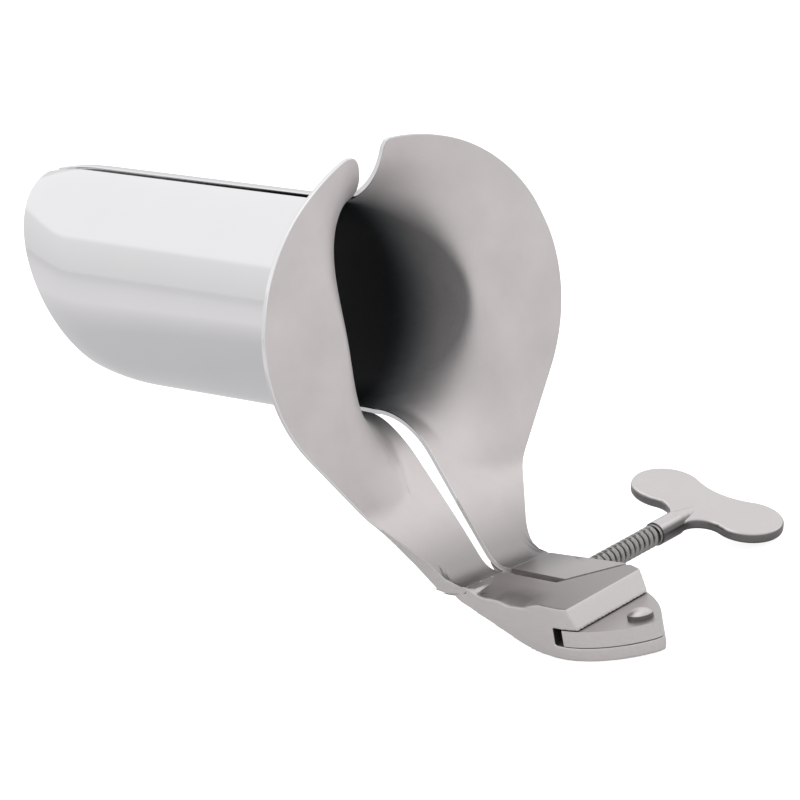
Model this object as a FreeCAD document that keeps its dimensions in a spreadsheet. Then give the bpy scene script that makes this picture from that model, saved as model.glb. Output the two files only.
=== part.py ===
import FreeCAD, Part
import math
import os

from FreeCAD import Placement, Rotation, Vector

# Two-bladed anal speculum: two oval half-tube blades with flared mouths, hinged on one rivet
# under the mouth and spread by a thumb screw.
# The origin is on the rivet's axis, in the flat underside of the joint.
# The oval tube runs along -X, the screw reaches out along +Y and +Z is up.

doc = FreeCAD.newDocument("anal_speculum")

# Driving sizes in millimetres and degrees
SIZES = [
    ("axis_height", 51.1, "tube axis above the joint's underside"),
    ("tube_half_height", 19.0, "outer half height of the closed oval tube"),
    ("tube_half_width", 14.2, "outer half width of the closed oval tube"),
    ("sheet_wall", 1.1, "thickness of the pressed blade sheet"),
    ("blade_gap", 1.7, "gap between the two closed halves"),
    ("tip_reach", 134.9, "rivet to the blade end, measured on the tube axis"),
    ("tip_rake", 21.8, "lean of the oblique blade end, top further out"),
    ("mouth_setback", 45.1, "rivet to the front face of the mouth flange"),
    ("mouth_side_radius", 3.0, "inside bend of the flange at the sides"),
    ("mouth_top_radius", 19.0, "inside bend of the flange at top and bottom"),
    ("rim_half_width", 31.4, "half width of the oval rim"),
    ("rim_half_height", 30.0, "half height of the oval rim"),
    ("strap_start", 61.3, "rivet to where the tube floor starts to dip"),
    ("strap_dip_radius", 15.0, "bend from the tube floor into the strap"),
    ("strap_slope", 55.5, "fall of the strap, from the horizontal"),
    ("strap_foot_radius", 5.0, "bend from the strap into the arm"),
    ("strap_crease_radius", 5.0, "rounding between the strap and the bell"),
    ("strap_side_slope", 55.0, "lean of the strap's sides, seen from the front"),
    ("strap_waist_radius", 12.0, "hollow corner where the strap's side meets the arm"),
    ("arm_half_width", 9.3, "half width of the arms at the strap"),
    ("arm_seam", 32.5, "rivet to the brazed seam between strap and arm"),
    ("arm_height", 8.7, "height of the arms at the joint"),
    ("arm_toe_reach", 41.0, "rivet to the toe of the arm behind the strap"),
    ("arm_toe_height", 14.5, "height of that toe"),
    ("arm_heel_reach", 36.5, "rivet to the arm's lower bend"),
    ("arm_heel_height", 6.6, "height of that bend"),
    ("arm_flat_reach", 15.5, "rivet to where the flat underside starts"),
    ("arm_heel_radius", 5.0, "rounding of the lower bend"),
    ("arm_flat_radius", 30.0, "rounding into the flat underside"),
    ("near_half_width", 10.3, "half width of the joint at its near shoulder"),
    ("near_shoulder", 10.0, "rivet to the near shoulder"),
    ("far_half_width", 10.8, "half width of the joint at its far shoulder"),
    ("far_shoulder", 14.0, "rivet to the far shoulder"),
    ("joint_nose", 4.3, "rivet to the front tip of the joint"),
    ("nose_near_bulge", 7.0, "half width of the joint beside the rivet, near side"),
    ("nose_far_bulge", 4.4, "half width of the joint beside the rivet, far side"),
    ("nose_blunt", 0.7, "half width of the blunt front tip"),
    ("near_notch_drop", 11.0, "rim top to where the near half's notch leaves the split"),
    ("near_notch_width", 3.9, "width of the near half's notch at the rim"),
    ("near_notch_round", 3.5, "rounded shoulder of the near half's notch"),
    ("far_notch_drop", 1.6, "rim top to where the far half's corner leaves the split"),
    ("far_notch_width", 0.4, "width of the far half's corner at the rim"),
    ("far_notch_round", 0.9, "rounding of the far half's corner"),
    ("slot_floor", 2.2, "thickness of the lower joint plate"),
    ("slot_height", 3.0, "height of the slot for the tongue"),
    ("tongue_play", 0.15, "gap above and below the tongue"),
    ("pocket_radius", 14.3, "round end of the slot, about the rivet"),
    ("tongue_radius", 12.9, "round end of the tongue, about the rivet"),
    ("bridge_reach", 18.7, "rivet to the rear edge of the bridge, on the middle line"),
    ("bridge_lean", 22.0, "turn of that rear edge"),
    ("bridge_gap", 0.5, "gap between the bridge and the far arm"),
    ("bridge_corner", 1.5, "rounded rear corner of the bridge"),
    ("bevel_reach", 6.5, "rivet to the foot of the bridge's bevelled front"),
    ("bevel_lean", 12.0, "turn of the bevelled front"),
    ("bevel_rise", 62.0, "steepness of the bevelled front"),
    ("rivet_radius", 1.75, "shank of the pivot rivet"),
    ("rivet_play", 0.05, "running gap between the rivet and the tongue"),
    ("rivet_head_radius", 2.15, "rivet head"),
    ("rivet_head_height", 1.5, "rivet head above the tongue"),
    ("rivet_sink", 0.1, "rivet end above the ground underside"),
    ("screw_reach", 23.5, "rivet to the screw axis, on the middle line"),
    ("screw_height", 5.7, "screw axis above the underside"),
    ("screw_lean", 11.5, "turn of the screw away from square"),
    ("thread_radius", 1.87, "outer radius of the thread"),
    ("thread_play", 0.05, "gap between the thread and its tapped hole"),
    ("thread_reach", 30.1, "middle line to the end of the thread"),
    ("screw_tip_gap", 0.1, "screw tip to the near arm"),
    ("stem_radius", 2.05, "plain stem of the wing"),
    ("stem_length", 5.6, "plain stem to the root of the wing"),
    ("wing_thickness", 1.9, "thickness of the flat wing"),
    ("wing_tilt", 17.5, "turn of the wing about the screw"),
    ("wing_lobe_radius", 6.1, "round ends of the wing"),
    ("wing_lobe_offset", 8.5, "screw axis to the centre of each round end"),
    ("wing_lobe_reach", 45.0, "middle line to the round ends, along the screw"),
    ("wing_waist", 49.0, "middle line to the hollow outer edge of the wing"),
    ("wing_edge", 0.6, "rounded edge of the wing"),
]

sheet = doc.addObject("Spreadsheet::Sheet", "sizes")
for row, (alias, value, meaning) in enumerate(SIZES, start=1):
    sheet.set("A%d" % row, meaning)
    sheet.set("B%d" % row, str(value))
    sheet.setAlias("B%d" % row, alias)
doc.recompute()


def size(alias):
    """One driving size as a plain number."""
    return float(getattr(sheet, alias))


# Places worked out from the sizes
FAR_AWAY = 4 * size("tip_reach")
HALF_GAP = size("blade_gap") / 2
AXIS = size("axis_height")
WALL = size("sheet_wall")
NEAR, FAR = -1, 1


def polar(angle, radius=1.0):
    """A point at an angle in degrees."""
    turn = math.radians(angle)
    return radius * math.cos(turn), radius * math.sin(turn)


def rounded(corners):
    """Closed outline through corners (point, radius); a radius of 0 leaves the corner sharp."""
    starts, ends, arcs = [], [], []
    count = len(corners)
    for index, (corner, radius) in enumerate(corners):
        back = (corners[index - 1][0] - corner).normalize()
        ahead = (corners[(index + 1) % count][0] - corner).normalize()
        if radius == 0:
            starts.append(corner)
            ends.append(corner)
            arcs.append(None)
            continue
        half = back.getAngle(ahead) / 2
        setback = radius / math.tan(half)
        middle = (back + ahead).normalize()
        centre = corner + middle * (radius / math.sin(half))
        starts.append(corner + back * setback)
        ends.append(corner + ahead * setback)
        arcs.append(centre - middle * radius)
    edges = []
    for index in range(count):
        if arcs[index] is not None:
            edges.append(Part.Arc(starts[index], arcs[index], ends[index]).toShape())
        following = starts[(index + 1) % count]
        if (following - ends[index]).Length > 1e-6:
            edges.append(Part.LineSegment(ends[index], following).toShape())
    return Part.Wire(edges)


def outline(name, wire, shift=Vector(0, 0, 0)):
    """A flat face kept in the document as a profile."""
    profile = doc.addObject("Part::Feature", name)
    face = Part.Face(wire)
    face.translate(shift)
    profile.Shape = face
    return profile


def extrusion(name, profile, direction, length):
    """A prism of a profile; length is an expression on the sheet."""
    prism = doc.addObject("Part::Extrusion", name)
    prism.Base = profile
    prism.DirMode = "Custom"
    prism.Dir = direction
    prism.Solid = True
    prism.setExpression("LengthFwd", length)
    return prism


def boolean(kind, name, base, tool):
    """Part::Cut or Part::Common of two objects."""
    result = doc.addObject(kind, name)
    result.Base = base
    result.Tool = tool
    return result


def cut(name, base, tool):
    return boolean("Part::Cut", name, base, tool)


def common(name, base, tool):
    return boolean("Part::Common", name, base, tool)


def fuse(name, *shapes):
    result = doc.addObject("Part::MultiFuse", name)
    result.Shapes = list(shapes)
    result.Refine = True
    return result


# Blades: one pressed sheet each, an oval half tube that opens into the bell of the mouth and
# runs down in a strap.
def mouth_space(name, grow):
    """The room inside tube and bell, grown outwards by a wall."""
    half_width = size("tube_half_width") - WALL + grow
    half_height = size("tube_half_height") - WALL + grow
    face_at = -size("mouth_setback") - grow
    oval = Part.Ellipse(Vector(0, 0, 0), half_height, half_width)
    quarters = [Part.Edge(oval, turn * math.pi / 2, (turn + 1) * math.pi / 2) for turn in range(4)]
    ring = Part.Wire(quarters)
    ring.Placement = Placement(Vector(-FAR_AWAY, 0, AXIS), Rotation(Vector(0, 1, 0), 90))
    bore = Part.Face(ring).extrude(Vector(FAR_AWAY + face_at + half_width, 0, 0))
    front = Part.makeBox(FAR_AWAY, FAR_AWAY, FAR_AWAY,
                         Vector(face_at, -FAR_AWAY / 2, AXIS - FAR_AWAY / 2))
    blank = doc.addObject("Part::Feature", name + "_blank")
    blank.Shape = bore.fuse(front).removeSplitter()
    side = size("mouth_side_radius") - grow
    top = size("mouth_top_radius") - grow
    rounding = []
    for number, edge in enumerate(blank.Shape.Edges, start=1):
        on_face = all(abs(corner.X - face_at) < 1e-6 for corner in edge.Vertexes)
        if on_face and edge.BoundBox.ZLength < 2 * half_height:
            starts_at_side = abs(edge.valueAt(edge.FirstParameter).z - AXIS) < 1e-3
            rounding.append((number, side, top) if starts_at_side else (number, top, side))
    bell = doc.addObject("Part::Fillet", name + "_bell")
    bell.Base = blank
    bell.Edges = rounding
    return bell


def strap_space(name, grow):
    """The room above the tube floor, the strap and the arm, seen from the side."""
    floor = AXIS - size("tube_half_height") + WALL - grow
    level = size("arm_height") - grow
    slope = size("strap_slope")
    dip = size("strap_dip_radius") - grow
    dip_start = -size("strap_start")
    along, down = polar(slope)
    # the two bends are tangent arcs, so the sharp corners between their tangents are enough
    dip_corner = Vector(dip_start + dip * math.tan(math.radians(slope / 2)), 0, floor)
    run = (floor - level) / down
    foot_corner = Vector(dip_corner.x + run * along, 0, level)
    top = AXIS + FAR_AWAY / 2
    corners = [
        (Vector(-FAR_AWAY, 0, floor), 0),
        (dip_corner, dip),
        (foot_corner, size("strap_foot_radius") + grow),
        (Vector(FAR_AWAY, 0, level), 0),
        (Vector(FAR_AWAY, 0, top), 0),
        (Vector(-FAR_AWAY, 0, top), 0),
    ]
    profile = outline(name + "_side", rounded(corners), Vector(0, -FAR_AWAY / 2, 0))
    return extrusion(name + "_strap", profile, Vector(0, 1, 0), "4 * sizes.tip_reach")


def blade_space(name, grow):
    """Bell and strap together, with the crease between them rounded."""
    room = common(name + "_creased", mouth_space(name, grow), strap_space(name, grow))
    doc.recompute()
    # the creases run on both sides from the start of the dip to the face of the bell
    face_at = -size("mouth_setback") - grow
    dip_start = -size("strap_start")
    radius = size("strap_crease_radius") + grow
    crease = []
    for number, edge in enumerate(room.Shape.Edges, start=1):
        box = edge.BoundBox
        along = dip_start - 1e-3 < box.XMin and box.XMax < face_at + 1e-3 and box.XLength > 1e-3
        if along and box.ZMax < AXIS and abs(box.Center.y) > WALL:
            crease.append((number, radius, radius))
    smooth = doc.addObject("Part::Fillet", name)
    smooth.Base = room
    smooth.Edges = crease
    return smooth


inside = blade_space("inside", 0)
outside = blade_space("outside", WALL)
pressing = cut("pressing", outside, inside)


def front_outline(name, side, drop, wide, shoulder):
    """One half of the blade seen from the front: notch, oval rim, slanting strap side and arm width."""
    width = size("rim_half_width")
    height = size("rim_half_height")
    slope = math.radians(size("strap_side_slope"))
    split = side * HALF_GAP

    def on_rim(turn):
        return Vector(0, side * width * math.cos(turn), AXIS + height * math.sin(turn))

    def rim_tangent(turn):
        return Vector(0, side * width * math.sin(turn), -height * math.cos(turn))

    # the rim runs from the notch's shoulder to where it is as steep as the strap's side
    leave = math.atan2(height, width * math.tan(slope))
    corner_turn = math.acos((HALF_GAP + wide) / width)
    start_turn = corner_turn - shoulder / width
    notch_foot = Vector(0, split, AXIS + height - drop)
    corner = on_rim(corner_turn)
    notch_line = (corner - notch_foot).normalize()
    shoulder_start = corner - notch_line * min(shoulder, (corner - notch_foot).Length / 2)
    shoulder_bend = Part.BezierCurve()
    shoulder_bend.setPoles([shoulder_start, corner, on_rim(start_turn)])
    count = 9
    turns = [start_turn + (-leave - start_turn) * step / (count - 1) for step in range(count)]
    rim = Part.BSplineCurve()
    rim.interpolate(Points=[on_rim(turn) for turn in turns], InitialTangent=rim_tangent(start_turn),
                    FinalTangent=rim_tangent(-leave))
    leave_at = on_rim(-leave)
    waist = side * size("arm_half_width")
    waist_z = leave_at.z - (abs(leave_at.y) - abs(waist)) * math.tan(slope)
    waist_corner = Vector(0, waist, waist_z)
    half_turn = (math.pi / 2 - slope) / 2
    setback = size("strap_waist_radius") * math.tan(half_turn)
    down_line = (waist_corner - leave_at).normalize()
    bend_start = waist_corner - down_line * setback
    bend_end = waist_corner + Vector(0, 0, -setback)
    bend_centre = bend_end + Vector(0, side * size("strap_waist_radius"), 0)
    toward = (waist_corner - bend_centre).normalize()
    bend_middle = bend_centre + toward * size("strap_waist_radius")
    low = Vector(0, waist, -size("arm_height"))
    low_split = Vector(0, split, -size("arm_height"))
    edges = [
        shoulder_bend.toShape(),
        rim.toShape(),
        Part.LineSegment(leave_at, bend_start).toShape(),
        Part.Arc(bend_start, bend_middle, bend_end).toShape(),
        Part.LineSegment(bend_end, low).toShape(),
        Part.LineSegment(low, low_split).toShape(),
        Part.LineSegment(low_split, notch_foot).toShape(),
        Part.LineSegment(notch_foot, shoulder_start).toShape(),
    ]
    wire = Part.Wire(edges)
    profile = outline(name + "_front", wire, Vector(-FAR_AWAY, 0, 0))
    return extrusion(name + "_front_prism", profile, Vector(1, 0, 0), "4 * sizes.tip_reach - sizes.arm_seam")


end_cutter = doc.addObject("Part::Box", "oblique_end")
end_cutter.setExpression("Length", "4 * sizes.tip_reach")
end_cutter.setExpression("Width", "4 * sizes.tip_reach")
end_cutter.setExpression("Height", "8 * sizes.tip_reach")
lean = Rotation(Vector(0, 1, 0), -size("tip_rake"))
end_cutter.Placement = Placement(
    Vector(-size("tip_reach"), 0, AXIS) + lean.multVec(Vector(0, -FAR_AWAY / 2, -FAR_AWAY)), lean)


def blade(label, side, drop, wide, shoulder):
    prism = front_outline(label, side, drop, wide, shoulder)
    half = common(label + "_half", pressing, prism)
    part = common(label, half, end_cutter)
    part.Label = label
    return part


near_blade = blade("near_blade", NEAR, size("near_notch_drop"), size("near_notch_width"),
                   size("near_notch_round"))
far_blade = blade("far_blade", FAR, size("far_notch_drop"), size("far_notch_width"), size("far_notch_round"))


# Arms and joint: a slotted box on the near arm, a tongue on the far arm
def plan_outline(name, points, height):
    profile = outline(name + "_plan", points)
    return extrusion(name + "_plan_prism", profile, Vector(0, 0, 1), height)


def joint_outline():
    """Arms and joint seen from above."""
    root = size("arm_seam") + size("arm_half_width")
    nose = size("joint_nose")
    blunt = size("nose_blunt")
    near_root = Vector(-size("arm_seam"), -size("arm_half_width"), 0)
    far_root = Vector(-size("arm_seam"), size("arm_half_width"), 0)
    near_shoulder = Vector(-size("near_shoulder"), -size("near_half_width"), 0)
    far_shoulder = Vector(-size("far_shoulder"), size("far_half_width"), 0)
    near_tip = Vector(nose, -blunt, 0)
    far_tip = Vector(nose, blunt, 0)
    edges = [
        Part.LineSegment(near_root, near_shoulder).toShape(),
        Part.Arc(near_shoulder, Vector(0, -size("nose_near_bulge"), 0), near_tip).toShape(),
        Part.LineSegment(near_tip, far_tip).toShape(),
        Part.Arc(far_tip, Vector(0, size("nose_far_bulge"), 0), far_shoulder).toShape(),
        Part.LineSegment(far_shoulder, far_root).toShape(),
        Part.LineSegment(far_root, Vector(-root, size("arm_half_width"), 0)).toShape(),
        Part.LineSegment(Vector(-root, size("arm_half_width"), 0), Vector(-root, -size("arm_half_width"), 0)).toShape(),
        Part.LineSegment(Vector(-root, -size("arm_half_width"), 0), near_root).toShape(),
    ]
    return Part.Wire(edges)


def arm_side():
    """Arms seen from the side: flat top, underside rising to the toe behind the strap."""
    front = size("joint_nose") + size("arm_height")
    top = size("arm_height")
    corners = [
        (Vector(-size("arm_toe_reach"), 0, size("arm_toe_height")), 0),
        (Vector(-size("arm_heel_reach"), 0, size("arm_heel_height")), size("arm_heel_radius")),
        (Vector(-size("arm_flat_reach"), 0, 0), size("arm_flat_radius")),
        (Vector(front, 0, 0), 0),
        (Vector(front, 0, top), 0),
        (Vector(-size("arm_seam"), 0, top), 0),
        (Vector(-size("arm_seam"), 0, size("arm_toe_height")), 0),
    ]
    return rounded(corners)


side_profile = outline("arm_side", arm_side(), Vector(0, -FAR_AWAY / 2, 0))
side_prism = extrusion("arm_side_prism", side_profile, Vector(0, 1, 0), "4 * sizes.tip_reach")
plan_prism = plan_outline("joint", joint_outline(), "4 * sizes.arm_height")
arm_block = common("arm_block", side_prism, plan_prism)

above_strap = doc.addObject("Part::Box", "above_strap_box")
above_strap.setExpression("Length", "4 * sizes.tip_reach")
above_strap.setExpression("Width", "4 * sizes.tip_reach")
above_strap.setExpression("Height", "4 * sizes.tip_reach")
above_strap.Placement.Base = Vector(-FAR_AWAY - size("arm_seam"), -FAR_AWAY / 2, -FAR_AWAY / 2)
strap_room = common("strap_room", outside, above_strap)
arm_blank = cut("arm_blank", arm_block, strap_room)


def slab(name, points, low, height):
    """A flat layer over a polygon in plan, from the level low."""
    loop = [Vector(x, y, low) for x, y in points]
    profile = outline(name + "_area", Part.makePolygon(loop + loop[:1]))
    return extrusion(name, profile, Vector(0, 0, 1), height)


def half_plane(origin_x, angle, offset, ahead, y_low, y_high):
    """Corners in plan of the strip ahead of or behind a leaning line across the arms."""
    slope = math.tan(math.radians(angle))
    near_x = origin_x + offset + slope * y_low
    far_x = origin_x + offset + slope * y_high
    edge = FAR_AWAY if ahead else -FAR_AWAY
    return [(near_x, y_low), (edge, y_low), (edge, y_high), (far_x, y_high)]


WIDE = 4 * size("far_half_width")
FULL_HEIGHT = "4 * sizes.arm_height"
TALL = 4 * size("arm_height")
bridge_x = -size("bridge_reach")
slot_top = size("slot_floor") + size("slot_height")

# near arm: everything on the near side, and the bridge and lower plate ahead of the rear edge
near_side = slab("near_side", [(-FAR_AWAY, -WIDE), (FAR_AWAY, -WIDE), (FAR_AWAY, -HALF_GAP),
                               (-FAR_AWAY, -HALF_GAP)], 0, FULL_HEIGHT)


def bridge_outline():
    """The bridge and the lower plate in plan: all that lies ahead of the leaning rear edge."""
    slope = math.tan(math.radians(size("bridge_lean")))
    corner = size("far_half_width")
    rear = Vector(bridge_x + slope * corner, corner, 0)
    front = Vector(FAR_AWAY, 0, 0)
    return rounded([
        (Vector(bridge_x - slope * WIDE, -WIDE, 0), 0),
        (front + Vector(0, -WIDE, 0), 0),
        (front + Vector(0, corner, 0), 0),
        (rear, size("bridge_corner")),
    ])


bridge_area = extrusion("bridge_area", outline("bridge_plan", bridge_outline()), Vector(0, 0, 1), FULL_HEIGHT)
near_area = fuse("near_area", near_side, bridge_area)
near_solid = common("near_solid", arm_blank, near_area)

slot_side = slab("slot_side", [(-FAR_AWAY, -HALF_GAP), (FAR_AWAY, -HALF_GAP), (FAR_AWAY, WIDE),
                               (-FAR_AWAY, WIDE)], size("slot_floor"), "sizes.slot_height")
pocket = doc.addObject("Part::Cylinder", "pocket")
pocket.setExpression("Radius", "sizes.pocket_radius")
pocket.setExpression("Height", "sizes.slot_height")
pocket.Placement.Base = Vector(0, 0, size("slot_floor"))
slot = fuse("slot", slot_side, pocket)
slotted = cut("near_slotted", near_solid, slot)

bevel_run = TALL / math.tan(math.radians(size("bevel_rise")))
bevel_slope = math.tan(math.radians(size("bevel_lean")))


def bevel_cutter():
    """The room in front of the bridge, above the slot."""
    low = slot_top
    foot = -size("bevel_reach")
    corners_low = [(foot + bevel_slope * WIDE, -WIDE), (FAR_AWAY, -WIDE), (FAR_AWAY, WIDE),
                   (foot - bevel_slope * WIDE, WIDE)]
    corners_high = [(foot + bevel_slope * WIDE - bevel_run, -WIDE), (FAR_AWAY, -WIDE), (FAR_AWAY, WIDE),
                    (foot - bevel_slope * WIDE - bevel_run, WIDE)]
    bottom = [Vector(x, y, low) for x, y in corners_low]
    top = [Vector(x, y, low + TALL) for x, y in corners_high]
    solid = doc.addObject("Part::Feature", "bevel_room")
    solid.Shape = Part.makeLoft([Part.makePolygon(bottom + bottom[:1]), Part.makePolygon(top + top[:1])],
                                True, True)
    return solid


bevelled = cut("near_bevelled", slotted, bevel_cutter())

near_hole = doc.addObject("Part::Cylinder", "near_rivet_hole")
near_hole.setExpression("Radius", "sizes.rivet_radius")
near_hole.setExpression("Height", "4 * sizes.arm_height")
near_hole.Placement.Base = Vector(0, 0, -size("arm_height"))
near_arm = cut("near_arm", bevelled, near_hole)
near_arm.Label = "near_joint_block"

# far arm: full height behind the bridge, a thin tongue under it
far_body = slab("far_body", half_plane(bridge_x, size("bridge_lean"), -size("bridge_gap"), False,
                                       HALF_GAP, WIDE), 0, FULL_HEIGHT)
far_full = common("far_full", arm_blank, far_body)
tongue_low = size("slot_floor") + size("tongue_play")
tongue_side = slab("tongue_side", [(-2 * size("bridge_reach"), HALF_GAP), (FAR_AWAY, HALF_GAP), (FAR_AWAY, WIDE),
                                   (-2 * size("bridge_reach"), WIDE)], tongue_low,
                   "sizes.slot_height - 2 * sizes.tongue_play")
tongue_disc = doc.addObject("Part::Cylinder", "tongue_disc")
tongue_disc.setExpression("Radius", "sizes.tongue_radius")
tongue_disc.setExpression("Height", "sizes.slot_height - 2 * sizes.tongue_play")
tongue_disc.Placement.Base = Vector(0, 0, tongue_low)
tongue_area = fuse("tongue_area", tongue_side, tongue_disc)
tongue = common("tongue", arm_blank, tongue_area)
far_blank = fuse("far_blank", far_full, tongue)
far_hole = doc.addObject("Part::Cylinder", "far_rivet_hole")
far_hole.setExpression("Radius", "sizes.rivet_radius + sizes.rivet_play")
far_hole.setExpression("Height", "4 * sizes.arm_height")
far_hole.Placement.Base = Vector(0, 0, -size("arm_height"))
far_drilled = cut("far_drilled", far_blank, far_hole)

# The screw's own frame: X out along the screw, Y along the wing's span
screw_turn = Rotation(Vector(0, 0, 1), 90 + size("screw_lean"))
screw_frame = Placement(Vector(-size("screw_reach"), 0, size("screw_height")), screw_turn)
tapped = doc.addObject("Part::Cylinder", "tapped_hole")
tapped.setExpression("Radius", "sizes.thread_radius + sizes.thread_play")
tapped.setExpression("Height", "2 * sizes.thread_reach")
tapped.Placement = screw_frame.multiply(
    Placement(Vector(-size("thread_reach"), 0, 0), Rotation(Vector(0, 1, 0), 90)))
far_arm = cut("far_arm", far_drilled, tapped)
far_arm.Label = "far_joint_block"


# Pivot rivet: domed head on the tongue, shank through the tongue and the lower plate
def rivet_shape():
    head_base = slot_top - size("tongue_play")
    radius = size("rivet_head_radius")
    height = size("rivet_head_height")
    dome = height / 2
    ball = (radius ** 2 + dome ** 2) / (2 * dome)
    rim = head_base + height - dome
    crown = head_base + height
    turn = math.asin(radius / ball) / 2
    points = [Vector(0, 0, size("rivet_sink")), Vector(size("rivet_radius"), 0, size("rivet_sink")),
              Vector(size("rivet_radius"), 0, head_base), Vector(radius, 0, head_base), Vector(radius, 0, rim)]
    edges = [Part.LineSegment(a, b).toShape() for a, b in zip(points, points[1:])]
    on_dome = Vector(ball * math.sin(turn), 0, crown - ball + ball * math.cos(turn))
    edges.append(Part.Arc(points[-1], on_dome, Vector(0, 0, crown)).toShape())
    edges.append(Part.LineSegment(Vector(0, 0, crown), points[0]).toShape())
    return Part.Face(Part.Wire(edges)).revolve(Vector(0, 0, 0), Vector(0, 0, 1), 360)


pivot_rivet = doc.addObject("Part::Feature", "pivot_rivet")
pivot_rivet.Shape = rivet_shape()
pivot_rivet.Label = "pivot_rivet"


# Screw spindle: a plain bar at the thread's outer size with a ball tip
def spindle_shape():
    radius = size("thread_radius")
    square = math.cos(math.radians(size("screw_lean")))
    ball = (radius - HALF_GAP + size("screw_tip_gap")) / square
    end = size("thread_reach")
    turn = math.radians(45)
    on_ball = Vector(ball - radius * math.cos(turn), radius * math.sin(turn), 0)
    edges = [
        Part.Arc(Vector(ball - radius, 0, 0), on_ball, Vector(ball, radius, 0)).toShape(),
        Part.LineSegment(Vector(ball, radius, 0), Vector(end, radius, 0)).toShape(),
        Part.LineSegment(Vector(end, radius, 0), Vector(end, 0, 0)).toShape(),
        Part.LineSegment(Vector(end, 0, 0), Vector(ball - radius, 0, 0)).toShape(),
    ]
    return Part.Face(Part.Wire(edges)).revolve(Vector(0, 0, 0), Vector(1, 0, 0), 360)


threaded_spindle = doc.addObject("Part::Feature", "threaded_spindle")
threaded_spindle.Shape = spindle_shape()
threaded_spindle.Placement = screw_frame
threaded_spindle.Label = "threaded_spindle"


# Thumb wing: a flat two-lobed plate on a short round stem
def wing_outline():
    """Two round lobes joined by hollow arcs that leave them, and the stem, without a corner."""
    lobe = size("wing_lobe_radius")
    offset = size("wing_lobe_offset")
    reach = size("wing_lobe_reach")
    stem = size("stem_radius")
    root = size("thread_reach") + size("stem_length")
    sag = size("wing_waist") - reach
    hollow = (sag ** 2 + offset ** 2 - lobe ** 2) / (2 * (lobe - sag))
    back = reach - root
    height = offset - stem
    neck = (back ** 2 + height ** 2 - lobe ** 2) / (2 * (height + lobe))

    def touch(centre, radius, side):
        """Where the arc about centre meets the lobe on that side."""
        lobe_centre = Vector(reach, side * offset, 0)
        return centre + (lobe_centre - centre).normalize() * radius

    top_centre = Vector(size("wing_waist") + hollow, 0, 0)
    right_centre = Vector(root, stem + neck, 0)
    left_centre = Vector(root, -stem - neck, 0)
    top_right = touch(top_centre, hollow, 1)
    top_left = touch(top_centre, hollow, -1)
    low_right = touch(right_centre, neck, 1)
    low_left = touch(left_centre, neck, -1)
    stem_right = Vector(root, stem, 0)
    stem_left = Vector(root, -stem, 0)
    right_middle = right_centre + ((low_right - right_centre) + (stem_right - right_centre)).normalize() * neck
    left_middle = left_centre + ((low_left - left_centre) + (stem_left - left_centre)).normalize() * neck
    edges = [
        Part.Arc(top_left, Vector(size("wing_waist"), 0, 0), top_right).toShape(),
        Part.Arc(top_right, Vector(reach, offset + lobe, 0), low_right).toShape(),
        Part.Arc(low_right, right_middle, stem_right).toShape(),
        Part.LineSegment(stem_right, stem_left).toShape(),
        Part.Arc(stem_left, left_middle, low_left).toShape(),
        Part.Arc(low_left, Vector(reach, -offset - lobe, 0), top_left).toShape(),
    ]
    return Part.Wire(edges)


def wing_shape():
    thick = size("wing_thickness")
    stem = size("stem_radius")
    root = size("thread_reach") + size("stem_length")
    face = Part.Face(wing_outline())
    face.translate(Vector(0, 0, -thick / 2))
    plate = face.extrude(Vector(0, 0, thick))
    flat_edges = [edge for edge in plate.Edges if abs(abs(edge.BoundBox.Center.z) - thick / 2) < 1e-6
                  and edge.BoundBox.XLength > 1e-3]
    plate = plate.makeFillet(size("wing_edge"), flat_edges)
    base = Part.makeCylinder(stem, size("stem_length"), Vector(size("thread_reach"), 0, 0), Vector(1, 0, 0))
    taper = Part.makeCone(stem, thick / 2, size("wing_lobe_radius"), Vector(root, 0, 0), Vector(1, 0, 0))
    return plate.multiFuse([base, taper]).removeSplitter()


thumb_wing = doc.addObject("Part::Feature", "thumb_wing")
thumb_wing.Shape = wing_shape()
thumb_wing.Placement = screw_frame.multiply(Placement(Vector(0, 0, 0), Rotation(Vector(1, 0, 0), size("wing_tilt"))))
thumb_wing.Label = "thumb_wing"

PARTS = [near_blade, far_blade, near_arm, far_arm, pivot_rivet, threaded_spindle, thumb_wing]

doc.recompute()
for item in doc.Objects:
    faults = [word for word in item.State if word in ("Invalid", "Error")]
    if faults:
        raise RuntimeError("%s: %s" % (item.Name, faults))
for item in PARTS:
    if item.Shape.isNull() or not item.Shape.isValid() or not item.Shape.Solids:
        raise RuntimeError("%s has no sound solid" % item.Label)

os.makedirs("parts", exist_ok=True)
for item in PARTS:
    item.Shape.exportStep("parts/%s.step" % item.Label)
    print("%-14s solids %d volume %8.1f" % (item.Label, len(item.Shape.Solids), item.Shape.Volume))
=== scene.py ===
"""Anal speculum: polished blades, brazed arms, pivot rivet and thumb screw, on a plain stage."""

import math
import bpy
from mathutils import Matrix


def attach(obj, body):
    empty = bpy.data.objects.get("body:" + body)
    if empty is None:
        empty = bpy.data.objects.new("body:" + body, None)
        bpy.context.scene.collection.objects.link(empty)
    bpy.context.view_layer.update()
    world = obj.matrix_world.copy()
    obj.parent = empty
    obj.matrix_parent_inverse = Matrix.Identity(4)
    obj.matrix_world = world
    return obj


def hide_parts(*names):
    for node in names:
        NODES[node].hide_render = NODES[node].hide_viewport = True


bl_info = {
    "name": "Anal Speculum",
    "version": (1, 0, 0),
    "blender": (4, 5, 0),
    "location": "3D View > Sidebar > Speculum",
    "description": "Builds a two-bladed anal speculum with its thumb screw and a studio stage",
    "category": "Add Mesh",
}

import bmesh
import bpy
import numpy as np
from mathutils import Matrix, Vector

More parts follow.
